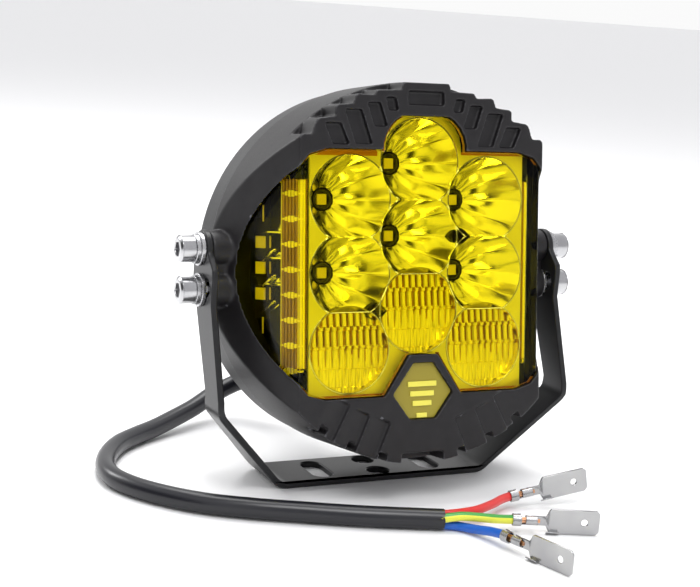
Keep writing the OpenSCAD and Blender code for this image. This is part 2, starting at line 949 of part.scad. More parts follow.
// Direction of a terminal from its heading and rise.
function blade_way(place) =
    [cos(place[2]) * cos(place[3]), sin(place[2]) * cos(place[3]), sin(place[3])];

// Crimped blade terminal standing on its edge, from the core's end onward.
module spade_terminal(place) {
    color("#d5d6d8")
        translate([place[0], place[1], terminal_h])
            rotate([0, 0, place[2]])
                rotate([0, -place[3], 0]) {
                    // Crimp barrel
                    rotate([0, 90, 0])
                        cylinder(h = 9.1, d = 4.6, $fn = 32);
                    // Neck and blade
                    translate([9, -0.4, -1.6])
                        cube([5, 0.8, 3.2]);
                    difference() {
                        translate([13.5, -0.4, -4.7])
                            cube([18.5, 0.8, 9.4]);
                        translate([26.5, 2, 0])
                            rotate([90, 0, 0])
                                cylinder(h = 4, d = 2.6, $fn = 32);
                    }
                }
}

module terminal_red() {
    spade_terminal(red_terminal);
}

module terminal_earth() {
    spade_terminal(earth_terminal);
}

module terminal_blue() {
    spade_terminal(blue_terminal);
}

bracket();
front_housing();
rear_housing();
housing_seal();
lens();
lens_seal();
badge_insert();
spot_reflector();
flood_optics();
side_reflector_left();
side_reflector_right();
light_guide_left();
light_guide_right();
led_board();
led_chips();
side_board_left();
side_board_right();
side_chips_left();
side_chips_right();
driver_board();
driver_parts();
internal_leads();
housing_screws();
board_screws();
breather_plug();
cable_gland();
gland_nut();
pivot_bolts();
locking_bolts();
spring_washers();
flat_washers();
arm_spacers();
cable();
cable_stub();
core_red();
core_earth();
core_blue();
terminal_red();
terminal_earth();
terminal_blue();
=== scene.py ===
import math

import bmesh
import bpy
from mathutils import Matrix, Vector
from mathutils.geometry import delaunay_2d_cdt


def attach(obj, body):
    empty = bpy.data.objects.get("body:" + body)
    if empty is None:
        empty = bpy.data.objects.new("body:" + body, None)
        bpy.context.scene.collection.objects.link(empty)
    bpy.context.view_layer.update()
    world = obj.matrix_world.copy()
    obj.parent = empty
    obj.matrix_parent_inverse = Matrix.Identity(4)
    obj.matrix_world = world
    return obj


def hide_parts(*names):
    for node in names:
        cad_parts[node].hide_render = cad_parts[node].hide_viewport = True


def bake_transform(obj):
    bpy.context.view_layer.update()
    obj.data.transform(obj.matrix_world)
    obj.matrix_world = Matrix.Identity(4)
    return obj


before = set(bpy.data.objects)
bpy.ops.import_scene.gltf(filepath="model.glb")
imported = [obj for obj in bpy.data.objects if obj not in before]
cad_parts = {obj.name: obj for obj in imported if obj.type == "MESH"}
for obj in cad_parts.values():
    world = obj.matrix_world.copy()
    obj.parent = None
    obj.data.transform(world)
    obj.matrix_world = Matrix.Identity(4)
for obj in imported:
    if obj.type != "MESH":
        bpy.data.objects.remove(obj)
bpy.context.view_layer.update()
MM = 0.001

# ---------------------------------------------------------------- places

# The tilt axis in the scene, and how far it lies above the lamp's axis and in front of its seam.
PIVOT_Y, PIVOT_Z, TILT = 4.0, 89.5, math.radians(8.5)
PIVOT_UP, PIVOT_FWD = 8.5, 4.5

# The lamp is drawn face up: X right, Y up the face, Z out of the face.
LAMP = (Matrix.Translation((0, PIVOT_Y, PIVOT_Z)) @ Matrix.Rotation(-TILT, 4, "X")
        @ Matrix.Translation((0, PIVOT_FWD, -PIVOT_UP)) @ Matrix.Rotation(math.pi / 2, 4, "X"))
TO_LAMP = LAMP.inverted()
FLOOR = Matrix.Identity(4)
# The flat face ends FACE_W to each side and lies FRONT_H above the seam. The sides slant by SLOPE.
FACE_W, FRONT_H, SLOPE = 50.5, 39.0, math.radians(64)
# Where the cable gland sits on the back, and how far behind the seam its tip is.
GLAND, GLAND_TIP = (-12.0, -42.0), 45.0


def slope(side):
    """Frame on a slanted side: X down the slope, Y up the face, Z outward."""
    flip = Matrix.Diagonal((side, 1, 1, 1))
    return LAMP @ flip @ Matrix.Translation((FACE_W, 0, FRONT_H)) @ Matrix.Rotation(SLOPE, 4, "Y")


def stand(x, up, out):
    """The scene's point for one in the lamp's own millimetres."""
    return LAMP @ Vector((x, up, out))


def lamp_mm(at):
    """A point of the scene in the lamp's own millimetres."""
    return TO_LAMP @ (Vector(at) / MM)


# ---------------------------------------------------------------- camera

def make_camera():
    """The photograph's viewpoint, with the small roll that it was taken with."""
    data = bpy.data.cameras.new("camera")
    data.lens, data.sensor_width = 77.48, 36.0
    data.clip_start, data.clip_end = 0.01, 20
    cam = bpy.data.objects.new("camera", data)
    bpy.context.scene.collection.objects.link(cam)
    yaw, pitch, roll = math.radians(26.6), math.radians(11.35), math.radians(4.22)
    look = Vector((math.sin(yaw) * math.cos(pitch), math.cos(yaw) * math.cos(pitch), -math.sin(pitch)))
    level = Vector((math.cos(yaw), -math.sin(yaw), 0))
    above = level.cross(look)
    right = math.cos(roll) * level + math.sin(roll) * above
    up = right.cross(look)
    turn = Matrix((right, up, -look)).transposed().to_4x4()
    cam.matrix_world = Matrix.Translation((-0.2682, -0.5067, 0.1860)) @ turn
    bpy.context.scene.camera = cam


make_camera()


# ---------------------------------------------------------------- mesh tools

def piece(name, verts, faces, mat, place=LAMP, body="lamp", sharp=30, bevel=0.0, segments=2,
          stands_for=()):
    """A finished piece from points in millimetres, put in place and riding on its body."""
    mesh = bpy.data.meshes.new(name)
    mesh.from_pydata([tuple(v) for v in verts], [], [tuple(f) for f in faces])
    mesh.transform(Matrix.Scale(MM, 4) @ place)
    return finish_piece(name, mesh, mat, body, sharp, bevel, segments, stands_for)


def finish_piece(name, mesh, mat, body, sharp, bevel, segments, stands_for):
    """An object of the mesh: cleaned, bevelled, smooth but for sharp edges, and on its body."""
    bm = bmesh.new()
    bm.from_mesh(mesh)
    bmesh.ops.remove_doubles(bm, verts=bm.verts, dist=1e-7)
    bmesh.ops.recalc_face_normals(bm, faces=bm.faces)
    bm.to_mesh(mesh)
    bm.free()
    obj = bpy.data.objects.new(name, mesh)
    bpy.context.scene.collection.objects.link(obj)
    mesh.materials.append(mat)
    for face in mesh.polygons:
        face.use_smooth = True
    if bevel:
        mod = obj.modifiers.new("edges", "BEVEL")
        mod.width, mod.segments, mod.limit_method = bevel * MM, segments, "ANGLE"
        mod.angle_limit = math.radians(28)
        mod.use_clamp_overlap = False
        mod.miter_outer = "MITER_ARC"
    mesh.set_sharp_from_angle(angle=math.radians(sharp))
    if body:
        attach(obj, body)
    if stands_for:
        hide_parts(*stands_for)
    return obj


def joined(parts):
    """Several (points, faces) as one."""
    verts, faces = [], []
    for v, f in parts:
        faces += [tuple(i + len(verts) for i in face) for face in f]
        verts += [Vector(p) for p in v]
    return verts, faces


def moved(part, matrix):
    return [matrix @ Vector(p) for p in part[0]], part[1]


def block(x0, x1, y0, y1, z0, z1):
    """Box between two corners, to be bevelled or joined with others."""
    v = [(x, y, z) for z in (z0, z1) for y in (y0, y1) for x in (x0, x1)]
    f = [(0, 2, 3, 1), (4, 5, 7, 6), (0, 1, 5, 4), (2, 6, 7, 3), (0, 4, 6, 2), (1, 3, 7, 5)]
    return v, f


def turned(profile, sides=48, closed=True):
    """Solid of revolution about Z of (radius, height) points, a closed ring if closed."""
    v, f, n = [], [], len(profile)
    for i in range(sides):
        a = 2 * math.pi * i / sides
        v += [(r * math.cos(a), r * math.sin(a), h) for r, h in profile]
    for i in range(sides):
        j = (i + 1) % sides
        for k in range(n if closed else n - 1):
            m = (k + 1) % n
            f.append((i * n + k, j * n + k, j * n + m, i * n + m))
    return v, f


def ring_points(cx, cy, r, count):
    return [(cx + r * math.cos(2 * math.pi * i / count), cy + r * math.sin(2 * math.pi * i / count))
            for i in range(count)]


def inside(p, loop):
    """Whether the point lies inside the closed outline."""
    hit, j = False, len(loop) - 1
    for i in range(len(loop)):
        (xi, yi), (xj, yj) = loop[i], loop[j]
        if (yi > p[1]) != (yj > p[1]) and p[0] < (xj - xi) * (p[1] - yi) / (yj - yi) + xi:
            hit = not hit
        j = i
    return hit


def plate(outline, holes, z0, z1):
    """Flat plate between z0 and z1 with any holes, overlapping ones too."""
    points, edges = [], []
    for loop in [outline] + holes:
        at = len(points)
        points += [Vector(p) for p in loop]
        edges += [(at + i, at + (i + 1) % len(loop)) for i in range(len(loop))]
    co, _, tris, *_ = delaunay_2d_cdt(points, edges, [], 0, 1e-5)
    kept = []
    for t in tris:
        c = sum((co[i] for i in t), Vector((0, 0))) / len(t)
        if inside(c, outline) and not any(inside(c, h) for h in holes):
            kept.append(tuple(t))
    n = len(co)
    verts = [(p.x, p.y, z1) for p in co] + [(p.x, p.y, z0) for p in co]
    faces = kept + [tuple(i + n for i in reversed(t)) for t in kept]
    sides = [(a, b) for t in kept for a, b in zip(t, t[1:] + t[:1])]
    paired = set(sides)
    faces += [(b, a, a + n, b + n) for a, b in sides if (b, a) not in paired]
    used = sorted({i for f in faces for i in f})
    order = {i: k for k, i in enumerate(used)}
    return [verts[i] for i in used], [tuple(order[i] for i in f) for f in faces]


def spline(route, steps):
    """Catmull-Rom points through the route."""
    pts = [Vector(p) for p in route]
    out = []
    for i in range(len(pts) - 1):
        p0, p1, p2, p3 = pts[max(i - 1, 0)], pts[i], pts[i + 1], pts[min(i + 2, len(pts) - 1)]
        for k in range(steps):
            t = k / steps
            out.append(0.5 * (2 * p1 + (p2 - p0) * t + (2 * p0 - 5 * p1 + 4 * p2 - p3) * t * t
                              + (3 * p1 - p0 - 3 * p2 + p3) * t ** 3))
    return out + [pts[-1]]


def swept(path, radius, sides, closed=False, up=(0, 0, 1)):
    """Round tube along path, with flat ends or closed into a ring."""
    n = len(path)
    verts, faces = [], []
    for i, p in enumerate(path):
        if closed:
            way = path[(i + 1) % n] - path[i - 1]
        else:
            way = path[min(i + 1, n - 1)] - path[max(i - 1, 0)]
        way.normalize()
        a = way.cross(Vector(up)).normalized()
        b = a.cross(way)
        for k in range(sides):
            turn = 2 * math.pi * k / sides
            verts.append(p + radius * (math.cos(turn) * a + math.sin(turn) * b))
    for i in range(n if closed else n - 1):
        j = (i + 1) % n
        for k in range(sides):
            m = (k + 1) % sides
            faces.append((i * sides + k, j * sides + k, j * sides + m, i * sides + m))
    if not closed:
        faces += [tuple(range(sides)), tuple((n - 1) * sides + k for k in reversed(range(sides)))]
    return verts, faces


# ---------------------------------------------------------------- materials

def principled(mat):
    return mat.node_tree.nodes["Principled BSDF"]


def shader(name, color, rough, metal=0.0):
    """A plain material: one colour, roughness and metalness."""
    mat = bpy.data.materials.new(name)
    mat.use_nodes = True
    b = principled(mat)
    b.inputs["Base Color"].default_value = (*color, 1)
    b.inputs["Roughness"].default_value = rough
    b.inputs["Metallic"].default_value = metal
    return mat


def node(mat, kind, **values):
    """A new shader node, with properties and inputs set by name."""
    n = mat.node_tree.nodes.new(kind)
    for key, value in values.items():
        if hasattr(n, key):
            setattr(n, key, value)
        else:
            n.inputs[key].default_value = value
    return n


def link(mat, a, out, b, into):
    mat.node_tree.links.new(a.outputs[out], b.inputs[into])


def surface(name, color, rough, grain, spread, tones, metal=0.0, bump=0.0, height=0.0):
    """A material with fine grain: its roughness varies over spread, its colour between two tones."""
    mat = shader(name, color, rough, metal)
    where = node(mat, "ShaderNodeTexCoord")
    fine = node(mat, "ShaderNodeTexNoise", Scale=grain, Detail=4)
    link(mat, where, "Object", fine, "Vector")
    span = node(mat, "ShaderNodeMapRange")
    span.inputs["To Min"].default_value, span.inputs["To Max"].default_value = spread
    link(mat, fine, "Fac", span, "Value")
    link(mat, span, "Result", principled(mat), "Roughness")
    broad = node(mat, "ShaderNodeTexNoise", Scale=grain * 0.12, Detail=3)
    link(mat, where, "Object", broad, "Vector")
    ramp = node(mat, "ShaderNodeValToRGB")
    for mark, at, tone in zip(ramp.color_ramp.elements, (0.3, 0.7), tones):
        mark.position, mark.color = at, (*tone, 1)
    link(mat, broad, "Fac", ramp, "Fac")
    link(mat, ramp, "Color", principled(mat), "Base Color")
    if bump:
        bumps = node(mat, "ShaderNodeBump", Strength=bump, Distance=height)
        link(mat, fine, "Fac", bumps, "Height")
        link(mat, bumps, "Normal", principled(mat), "Normal")
    return mat


CAST = surface("cast_front", (0.009, 0.008, 0.009), 0.44, 1500, (0.38, 0.5),
               ((0.007, 0.006, 0.007), (0.011, 0.01, 0.011)), bump=0.15, height=0.0001)
REAR = surface("cast_rear", (0.013, 0.013, 0.014), 0.46, 1300, (0.4, 0.52),
               ((0.011, 0.011, 0.012), (0.016, 0.016, 0.017)), bump=0.2, height=0.00012)
COAT = surface("powder_coated_steel", (0.011, 0.011, 0.012), 0.32, 1700, (0.28, 0.38),
               ((0.009, 0.009, 0.01), (0.013, 0.013, 0.014)), bump=0.08, height=0.0001)
JACKET = surface("cable_jacket", (0.006, 0.006, 0.009), 0.3, 90, (0.26, 0.34),
                 ((0.005, 0.005, 0.008), (0.008, 0.008, 0.012)))
NYLON = surface("black_nylon", (0.014, 0.014, 0.015), 0.45, 700, (0.4, 0.55),
                ((0.011, 0.011, 0.012), (0.018, 0.018, 0.019)), bump=0.1, height=0.0001)
RUBBER = surface("rubber_seal", (0.02, 0.02, 0.02), 0.7, 500, (0.6, 0.8),
                 ((0.015, 0.015, 0.015), (0.025, 0.025, 0.025)), bump=0.1, height=0.0001)
STEEL = surface("stainless_bolt", (0.48, 0.48, 0.49), 0.2, 900, (0.14, 0.25),
                ((0.43, 0.43, 0.44), (0.54, 0.54, 0.55)), metal=1.0, bump=0.06, height=0.00006)
WASHER = surface("stainless_washer", (0.46, 0.46, 0.47), 0.26, 700, (0.2, 0.34),
                 ((0.4, 0.4, 0.41), (0.52, 0.52, 0.53)), metal=1.0, bump=0.05, height=0.00006)
ZINC = surface("steel_screw", (0.4, 0.41, 0.42), 0.35, 600, (0.28, 0.45),
               ((0.33, 0.34, 0.35), (0.46, 0.47, 0.48)), metal=1.0, bump=0.05, height=0.00006)
TIN = surface("tinned_brass", (0.4, 0.4, 0.4), 0.24, 500, (0.18, 0.3),
              ((0.34, 0.34, 0.35), (0.45, 0.45, 0.45)), metal=1.0, bump=0.05, height=0.00006)
COPPER = surface("copper_strand", (0.72, 0.36, 0.2), 0.3, 600, (0.24, 0.4),
                 ((0.6, 0.28, 0.14), (0.82, 0.45, 0.26)), metal=1.0)
MIRROR = surface("reflector_chrome", (0.92, 0.9, 0.84), 0.1, 300, (0.07, 0.13),
                 ((0.88, 0.86, 0.78), (0.95, 0.93, 0.88)), metal=1.0)
WEB = surface("reflector_web", (0.85, 0.78, 0.5), 0.34, 500, (0.28, 0.4),
              ((0.78, 0.72, 0.48), (0.88, 0.82, 0.56)), metal=0.45)
EDGE = surface("amber_edge", (0.5, 0.17, 0.01), 0.3, 200, (0.25, 0.35),
               ((0.42, 0.13, 0.008), (0.58, 0.22, 0.012)))
CHIP = surface("led_phosphor", (0.95, 0.8, 0.2), 0.5, 400, (0.42, 0.58),
               ((0.9, 0.74, 0.16), (1.0, 0.86, 0.26)))
BOARD = surface("white_board", (0.75, 0.74, 0.66), 0.5, 300, (0.45, 0.6),
                ((0.7, 0.69, 0.6), (0.8, 0.79, 0.7)))
DARK = surface("dark_ring", (0.02, 0.017, 0.01), 0.4, 400, (0.3, 0.5),
               ((0.015, 0.013, 0.008), (0.03, 0.025, 0.014)))
OPTIC = surface("amber_optic", (0.95, 0.85, 0.25), 0.12, 200, (0.08, 0.16),
                ((0.9, 0.8, 0.2), (0.98, 0.9, 0.34)), metal=0.7)
BADGE = surface("badge_amber", (0.27, 0.22, 0.012), 0.5, 200, (0.44, 0.56),
                ((0.24, 0.19, 0.01), (0.31, 0.26, 0.016)))
BADGE_LIT = surface("badge_bars", (0.75, 0.68, 0.08), 0.35, 200, (0.3, 0.42),
                    ((0.7, 0.63, 0.07), (0.8, 0.73, 0.1)))
RED = surface("red_insulation", (0.62, 0.015, 0.012), 0.3, 200, (0.26, 0.36),
              ((0.55, 0.012, 0.01), (0.68, 0.02, 0.016)))
BLUE = surface("blue_insulation", (0.008, 0.1, 0.5), 0.3, 200, (0.26, 0.36),
               ((0.006, 0.085, 0.44), (0.01, 0.12, 0.55)))
YELLOW = surface("earth_insulation", (0.72, 0.72, 0.05), 0.3, 200, (0.26, 0.36),
                 ((0.66, 0.66, 0.04), (0.78, 0.78, 0.07)))
STRIPE = surface("green_stripe", (0.04, 0.3, 0.04), 0.3, 200, (0.26, 0.36),
                 ((0.03, 0.26, 0.03), (0.06, 0.34, 0.06)))
GREEN = surface("green_board", (0.02, 0.16, 0.05), 0.4, 300, (0.35, 0.5),
                ((0.015, 0.13, 0.04), (0.03, 0.2, 0.07)))
PART = surface("component_black", (0.02, 0.02, 0.02), 0.45, 300, (0.4, 0.55),
               ((0.015, 0.015, 0.015), (0.03, 0.03, 0.03)))
DARK_AMBER = surface("guide_amber", (0.42, 0.24, 0.012), 0.16, 200, (0.12, 0.2),
                     ((0.34, 0.18, 0.01), (0.5, 0.3, 0.018)), metal=0.4)
# Painted shade: darker brown on one half of each light-guide flute.
GUIDE_SHADE = surface("guide_flute_shade", (0.12, 0.055, 0.003), 0.16, 200, (0.12, 0.2),
                ((0.1, 0.045, 0.003), (0.15, 0.07, 0.004)), metal=0.3)
# Painted highlight: bright yellow bars stand in for the glints and bright lines in the light guides.
GUIDE_GLINT = surface("guide_bars", (1.0, 0.88, 0.14), 0.25, 200, (0.2, 0.3),
               ((0.96, 0.82, 0.12), (1.0, 0.92, 0.2)), metal=0.2)


def paint_edge_highlights(mat, tone):
    """Painted highlight: the base colour is made lighter along outer edges, standing in for the light they
    catch.
    """
    base = principled(mat).inputs["Base Color"].links[0].from_socket
    shape = node(mat, "ShaderNodeNewGeometry")
    span = node(mat, "ShaderNodeMapRange")
    span.inputs["From Min"].default_value, span.inputs["From Max"].default_value = 0.53, 0.6
    link(mat, shape, "Pointiness", span, "Value")
    mix = node(mat, "ShaderNodeMix", data_type="RGBA")
    link(mat, span, "Result", mix, "Factor")
    mat.node_tree.links.new(base, mix.inputs["A"])
    mix.inputs["B"].default_value = (*tone, 1)
    link(mat, mix, "Result", principled(mat), "Base Color")


def clear_amber():
    """Plastic tinted straight through, with weak refraction so the optics behind it stay clear."""
    mat = shader("amber_lens", (0.98, 0.91, 0.11), 0.0)
    principled(mat).inputs["Transmission Weight"].default_value = 1.0
    principled(mat).inputs["IOR"].default_value = 1.2
    return mat


LENS = clear_amber()
# painted highlight along the front casting's outer edges
paint_edge_highlights(CAST, (0.1, 0.1, 0.11))
principled(CAST).inputs["Specular IOR Level"].default_value = 0.32
principled(COAT).inputs["Specular IOR Level"].default_value = 0.34

# ---------------------------------------------------------------- cable

CABLE_R, CORE_R, CORE_SIDES = 3.75, 1.65, 20
# The jacket's route: STUB is the part that tilts with the lamp in the CAD, MAIN lies still.
STUB = [(-12, 54, 31), (-12.5, 62, 28.5), (-14.5, 70, 25), (-18, 76, 21), (-22, 79, 18), (-26, 80, 16)]
MAIN = [(-31, 80, 14), (-39, 78, 11), (-48, 73, 8), (-58, 67, 6), (-70, 59, 4.4), (-80, 52, 4),
        (-90, 43, 4), (-98, 31, 4), (-103, 18, 4), (-104, 5, 4), (-100, -7, 4), (-92, -19, 4),
        (-81, -30, 4), (-67, -39, 4), (-51, -47, 4), (-30, -57, 4), (-4, -67, 4)]
# The three cores, from the jacket's end to their terminals.
REDS = [(-3.35, -65.3, 5.05), (3, -66, 5.3), (11, -64.5, 5.2), (20, -60, 5), (27, -55.5, 4.8),
        (31.5, -53.5, 4.8)]
EARTHS = [(-4.65, -68.7, 5.05), (1, -70.4, 5.8), (7, -72.4, 5.6), (13, -74.2, 5.1), (19, -75.5, 4.8)]
BLUES = [(-4, -67, 1.95), (0.5, -69.5, 1.85), (4, -75, 2.4), (6.5, -81.5, 3.7), (7.8, -88, 4.8)]


def make_cable():
    """One unbroken jacket, from inside the gland to where the cores leave it."""
    in_gland = [tuple(stand(*GLAND, -d)) for d in (GLAND_TIP - 4, GLAND_TIP)]
    path = spline(in_gland + STUB + MAIN, 6)
    v, f = swept(path, CABLE_R, 28)
    tube = piece("cable_tube", v, f, JACKET, FLOOR, None, 40, 0.3, stands_for=("cable", "cable_stub"))
    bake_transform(tube)
    return tube, path


def make_core(name, route, mat, stripe=None):
    """An insulated core that starts just inside the jacket, with two stripes if it has them."""
    path = spline(route, 8)
    back = (path[0] - path[1]).normalized()
    path.insert(0, path[0] + back * 1.5)
    v, f = swept(path, CORE_R, CORE_SIDES)
    core = piece("wire_" + name, v, f, mat, FLOOR, "bracket", 40, stands_for=("core_" + name,))
    if stripe:
        core.data.materials.append(stripe)
        for face in core.data.polygons:
            if len(face.vertices) == 4 and face.index % (CORE_SIDES // 2) in (2, 3, 4, 5):
                face.material_index = 1
    return core


def crimp(x0, x1, radius):
    """Sheet rolled most of the way round a wire, from x0 to x1."""
    turns = [math.radians(-250 + 320 * k / 24) for k in range(25)]
    outer = [(radius * math.cos(a), radius * math.sin(a)) for a in turns]
    loop = outer + [(0.78 * y, 0.78 * z) for y, z in reversed(outer)]
    n = len(loop)
    verts = [(x, z, y) for x in (x0, x1) for y, z in loop]
    faces = [(k, (k + 1) % n, n + (k + 1) % n, n + k) for k in range(n)]
    for base in (0, n):
        for k in range(len(outer) - 1):
            faces.append((base + k, base + k + 1, base + n - 2 - k, base + n - 1 - k))
    return verts, faces


def make_terminal(name, start, heading, rise):
    """Crimped blade terminal at start, turned by heading and tilted up by rise degrees."""
    place = (Matrix.Translation(start) @ Matrix.Rotation(math.radians(heading), 4, "Z")
             @ Matrix.Rotation(math.radians(-rise), 4, "Y") @ Matrix.Rotation(math.pi / 2, 4, "X"))
    # The blade stands on its edge: X along it, Y across its width, Z through its thickness.
    outline = [(9, -1.7), (12.4, -1.7), (13.6, -4.1), (14.2, -4.6), (30.8, -4.6), (32, -3.4), (32, 3.4),
               (30.8, 4.6), (14.2, 4.6), (13.6, 4.1), (12.4, 1.7), (9, 1.7)]
    blade = plate(outline, [ring_points(26.5, 0, 1.3, 24)], -0.4, 0.4)
    tab = moved(block(12.6, 17.2, -1.1, 1.1, -0.25, 0.25),
                Matrix.Translation((0, -4.1, 1.0)) @ Matrix.Rotation(math.radians(62), 4, "X"))
    on_insulation, on_copper = crimp(0.2, 3.4, 2.25), crimp(5.0, 9.2, 1.75)
    neck = block(3.0, 9.6, -1.55, -1.15, -0.9, 0.9)
    v, f = joined([blade, tab, on_insulation, on_copper, neck])
    body = piece("blade_" + name, v, f, TIN, place, "bracket", 30, 0.12, 1,
                 stands_for=("terminal_" + name,))
    strands = []
    for k in range(7):
        a = 2 * math.pi * k / 6
        y, z = (0, 0) if k == 6 else (0.75 * math.cos(a), 0.75 * math.sin(a))
        ends = [Vector((0.6, y, z)), Vector((5, y, z)), Vector((10.2, y * 0.9, z * 0.7))]
        strands.append(swept(ends, 0.34, 8, up=(0, 0.1, 1)))
    v, f = joined(strands)
    wires = piece("strands_" + name, v, f, COPPER, place, "bracket", 40)
    return [body, wires]


cable, cable_path = make_cable()
cores = [make_core("red", REDS, RED),
         make_core("earth", EARTHS, YELLOW, STRIPE),
         make_core("blue", BLUES, BLUE)]
terminals = (make_terminal("red", REDS[-1], -8, 11)
             + make_terminal("earth", EARTHS[-1], -22, 0)
             + make_terminal("blue", BLUES[-1], -75, 0))

# ---------------------------------------------------------------- castings, bracket, hardware


def refined(name, node_name, mat, bevel, body="lamp"):
    """A copy of a CAD node's mesh, cleaned to plain faces and with its edges rounded."""
    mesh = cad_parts[node_name].data.copy()
    mesh.materials.clear()
    bm = bmesh.new()
    bm.from_mesh(mesh)
    bmesh.ops.remove_doubles(bm, verts=bm.verts, dist=2e-6)
    bmesh.ops.dissolve_limit(bm, angle_limit=math.radians(1.0), verts=bm.verts, edges=bm.edges)
    bm.to_mesh(mesh)
    bm.free()
    return finish_piece(name, mesh, mat, body, 32, bevel, 2, (node_name,))


def past_slope(p):
    """How far a point of the lamp lies in front of its nearer slanted side, negative behind it."""
    return (p.z - (FRONT_H - math.tan(SLOPE) * (abs(p.x) - FACE_W))) * math.cos(SLOPE)


def make_front_casting():
    """A copy of the front casting with all edges rounded, most where the slanted sides end."""
    source = bpy.data.objects.new("source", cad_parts["front_housing"].data.copy())
    bpy.context.scene.collection.objects.link(source)
    skin = source.modifiers.new("skin", "REMESH")
    skin.mode, skin.voxel_size, skin.use_smooth_shade = "VOXEL", 0.45 * MM, True
    mesh = bpy.data.meshes.new_from_object(source.evaluated_get(bpy.context.evaluated_depsgraph_get()))
    bpy.data.objects.remove(source)
    mesh.materials.clear()
    bm = bmesh.new()
    bm.from_mesh(mesh)
    outer, lip = [], []
    for v in bm.verts:
        p = lamp_mm(v.co)
        out, past = math.hypot(p.x, p.y), past_slope(p)
        if past > -2.2 and p.z < FRONT_H - 2 and out > 67.6:
            outer.append(v)
        if past > -3.2 and abs(p.x) > FACE_W + 1.5 and out < 66.5:
            lip.append(v)
    for verts, times in ((bm.verts, 2), (outer, 5), (lip, 16)):
        for _ in range(times):
            bmesh.ops.smooth_vert(bm, verts=verts, factor=0.5, use_axis_x=True, use_axis_y=True,
                                  use_axis_z=True)
    bm.to_mesh(mesh)
    bm.free()
    casting = finish_piece("front_casting", mesh, CAST, "lamp", 180, 0, 1, ("front_housing",))
    casting.modifiers.new("thin", "DECIMATE").ratio = 0.4


def make_window():
    """The clear window, whose raised pane shows a deeper amber along its cut edge."""
    window = refined("window", "lens", LENS, 0.35)
    window.data.materials.append(EDGE)
    for face in window.data.polygons:
        at, out = lamp_mm(face.center), TO_LAMP.to_3x3() @ face.normal
        if at.z > 36.3 and abs(out.z) < 0.6:
            face.material_index = 1


refined("steel_bracket", "bracket", COAT, 0.5, "bracket")
make_front_casting()
refined("rear_casting", "rear_housing", REAR, 0.5)
make_window()
for name, node_name, mat, bevel, slot in [
        ("window_seal", "lens_seal", RUBBER, 0, "rubber_seal"),
        ("case_seal", "housing_seal", RUBBER, 0, "rubber_seal"),
        ("upper_bolts", "pivot_bolts", STEEL, 0.25, "stainless_bolt"),
        ("lower_bolts", "locking_bolts", STEEL, 0.25, "stainless_bolt"),
        ("lock_washers", "spring_washers", WASHER, 0.2, "stainless_washer"),
        ("plain_washers", "flat_washers", WASHER, 0.25, "stainless_washer"),
        ("spacer_washers", "arm_spacers", WASHER, 0.2, "stainless_washer"),
        ("case_screws", "housing_screws", ZINC, 0.2, "steel_screw"),
        ("board_fixings", "board_screws", ZINC, 0.2, "steel_screw"),
        ("vent_plug", "breather_plug", NYLON, 0.4, "black_nylon"),
        ("gland_body", "cable_gland", NYLON, 0.3, "black_nylon"),
        ("gland_cap", "gland_nut", NYLON, 0.4, "black_nylon"),
        ("main_board", "led_board", BOARD, 0, "white_board"),
        ("supply_board", "driver_board", GREEN, 0, "green_board"),
        ("supply_parts", "driver_parts", PART, 0.3, "component_black"),
        ("board_leads", "internal_leads", RED, 0, "red_insulation")]:
    refined(name, node_name, mat, bevel)

# ---------------------------------------------------------------- optics

# Heights of the bowls' rims and floors, and the radii there.
RIM, FLOOR_H, THROAT, BOWL_R = 33.0, 8.0, 3.7, 16.1
COL, ROW, TOP = 28.3, 27.4, 27.1
SPOTS = [(-COL, TOP), (COL, TOP), (-COL, TOP - ROW), (COL, TOP - ROW), (0, TOP + ROW / 2), (0, TOP - ROW / 2)]
FLOODS = [(-COL, TOP - 2 * ROW), (COL, TOP - 2 * ROW), (0, TOP - 1.5 * ROW)]
PETALS, FACET = 10, 18.0
EYES = [(17.5, 13.4), (-17.5, -14)]


def reach_of(c, a):
    """How far the bowl at c goes in direction a before a neighbour's begins."""
    best = BOWL_R
    for o in SPOTS + FLOODS:
        dx, dy = o[0] - c[0], o[1] - c[1]
        d = math.hypot(dx, dy)
        if 0 < d < 2 * BOWL_R:
            along = math.cos(a - math.atan2(dy, dx))
            if along > 0.1:
                best = min(best, d / 2 / along)
    return best


def bowl_height(r):
    """The parabola of a bowl, r from its middle."""
    return FLOOR_H + (RIM - FLOOR_H) * (r * r - THROAT ** 2) / (BOWL_R ** 2 - THROAT ** 2)


def bowl(c):
    """A spot reflector with flat petals, cut off where it meets its neighbours."""
    rings, around, sector = 20, PETALS * 10, 2 * math.pi / PETALS
    v, f = [], []
    for j in range(around):
        a = 2 * math.pi * j / around
        far = reach_of(c, a)
        flat = 1 - math.cos(sector / 2) / math.cos(a % sector - sector / 2)
        for i in range(rings + 1):
            r = THROAT + (far - THROAT) * (i / rings) ** 0.8
            share = min(1, (r - THROAT) / (BOWL_R - THROAT))
            facet = FACET * flat * math.sin(math.pi * share) ** 0.6
            v.append((c[0] + r * math.cos(a), c[1] + r * math.sin(a), bowl_height(r) + facet))
        v.append((c[0] + THROAT * math.cos(a), c[1] + THROAT * math.sin(a), FLOOR_H - 0.6))
    n = rings + 2
    for j in range(around):
        k = (j + 1) % around
        for i in range(rings):
            f.append((j * n + i, k * n + i, k * n + i + 1, j * n + i + 1))
        f.append((j * n + n - 1, k * n + n - 1, k * n, j * n))
    return v, f


def eye(x, y, grow=0.0):
    """Outline of the pointed opening left between four bowls."""
    half, deep = 4.6 + grow, 2.9 + grow
    above = [(x - half + 2 * half * k / 12, y + deep * math.sin(math.pi * k / 12)) for k in range(12)]
    below = [(x + half - 2 * half * k / 12, y - deep * math.sin(math.pi * k / 12)) for k in range(12)]
    return above + below


